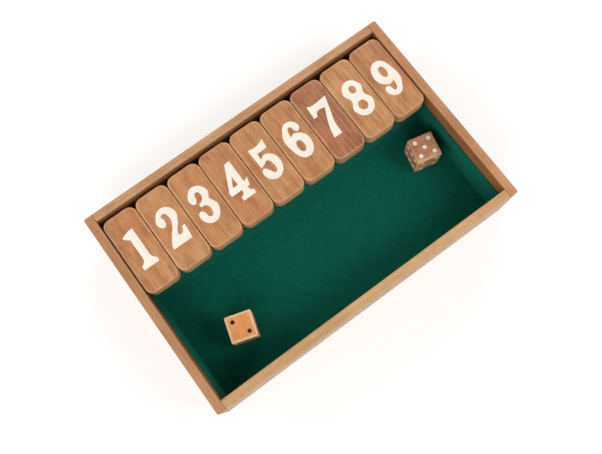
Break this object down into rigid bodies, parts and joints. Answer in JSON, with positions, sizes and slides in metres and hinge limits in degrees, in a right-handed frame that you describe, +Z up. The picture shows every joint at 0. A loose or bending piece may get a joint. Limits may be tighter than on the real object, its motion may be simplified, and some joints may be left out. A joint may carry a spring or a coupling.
{
  "type": "shut the box game",
  "caption": "Felt-lined wooden dice tray with a row of numbered tiles that flip back on a hidden steel rod, and a pair of wooden dice.",
  "frame": {"origin": "on the underside, below the middle of the box", "axes": "+X along the tile row from tile 1 to tile 9, +Y from the player's side to the back wall, +Z up"},
  "size_m": [0.193, 0.124, 0.033],
  "materials": {
    "box_wood": "thin satin varnish on orange-brown hardwood",
    "panel_wood": "bare sanded plywood",
    "tile_wood": "satin varnish, tone differs from tile to tile",
    "rod_steel": "bright drawn",
    "green_felt": "short dense pile",
    "pale_wood": "bare sanded",
    "dark_wood": "dark stain, satin",
    "white_paint": "thick matt paint in the digits and in the dark die's pips",
    "brown_paint": "burnt brown in the pale die's pips"
  },
  "bodies": {
    "box": {"left_wall": "box_wood", "right_wall": "box_wood", "front_wall": "box_wood", "back_wall": "box_wood", "floor_panel": "panel_wood", "tile_rail": "box_wood", "pivot_rod": "rod_steel", "floor_felt": "green_felt", "left_felt": "green_felt", "right_felt": "green_felt", "front_felt": "green_felt", "rail_felt": "green_felt"},
    "tile_1_body": {"tile_1": "tile_wood"},
    "tile_2_body": {"tile_2": "tile_wood"},
    "tile_3_body": {"tile_3": "tile_wood"},
    "tile_4_body": {"tile_4": "tile_wood"},
    "tile_5_body": {"tile_5": "tile_wood"},
    "tile_6_body": {"tile_6": "tile_wood"},
    "tile_7_body": {"tile_7": "tile_wood"},
    "tile_8_body": {"tile_8": "tile_wood"},
    "tile_9_body": {"tile_9": "tile_wood"},
    "light_die_body": {"light_die": "pale_wood"},
    "dark_die_body": {"dark_die": "dark_wood"}
  },
  "joints": [
    {"name": "tile_1_flip", "type": "hinge", "parent": "box", "child": "tile_1_body", "pos_m": [0, 0.0386, 0.0282], "axis": [-1, 0, 0], "range_deg": [0, 152]},
    {"name": "tile_2_flip", "type": "hinge", "parent": "box", "child": "tile_2_body", "pos_m": [0, 0.0386, 0.0282], "axis": [-1, 0, 0], "range_deg": [0, 152]},
    {"name": "tile_3_flip", "type": "hinge", "parent": "box", "child": "tile_3_body", "pos_m": [0, 0.0386, 0.0282], "axis": [-1, 0, 0], "range_deg": [0, 152]},
    {"name": "tile_4_flip", "type": "hinge", "parent": "box", "child": "tile_4_body", "pos_m": [0, 0.0386, 0.0282], "axis": [-1, 0, 0], "range_deg": [0, 152]},
    {"name": "tile_5_flip", "type": "hinge", "parent": "box", "child": "tile_5_body", "pos_m": [0, 0.0386, 0.0282], "axis": [-1, 0, 0], "range_deg": [0, 152]},
    {"name": "tile_6_flip", "type": "hinge", "parent": "box", "child": "tile_6_body", "pos_m": [0, 0.0386, 0.0282], "axis": [-1, 0, 0], "range_deg": [0, 152]},
    {"name": "tile_7_flip", "type": "hinge", "parent": "box", "child": "tile_7_body", "pos_m": [0, 0.0386, 0.0282], "axis": [-1, 0, 0], "range_deg": [0, 152]},
    {"name": "tile_8_flip", "type": "hinge", "parent": "box", "child": "tile_8_body", "pos_m": [0, 0.0386, 0.0282], "axis": [-1, 0, 0], "range_deg": [0, 152]},
    {"name": "tile_9_flip", "type": "hinge", "parent": "box", "child": "tile_9_body", "pos_m": [0, 0.0386, 0.0282], "axis": [-1, 0, 0], "range_deg": [0, 152]},
    {"name": "light_die_lift", "type": "slide", "parent": "box", "child": "light_die_body", "axis": [0, 0, 1], "range_m": [0, 0.06]},
    {"name": "dark_die_lift", "type": "slide", "parent": "box", "child": "dark_die_body", "axis": [0, 0, 1], "range_m": [0, 0.06]}
  ]
}
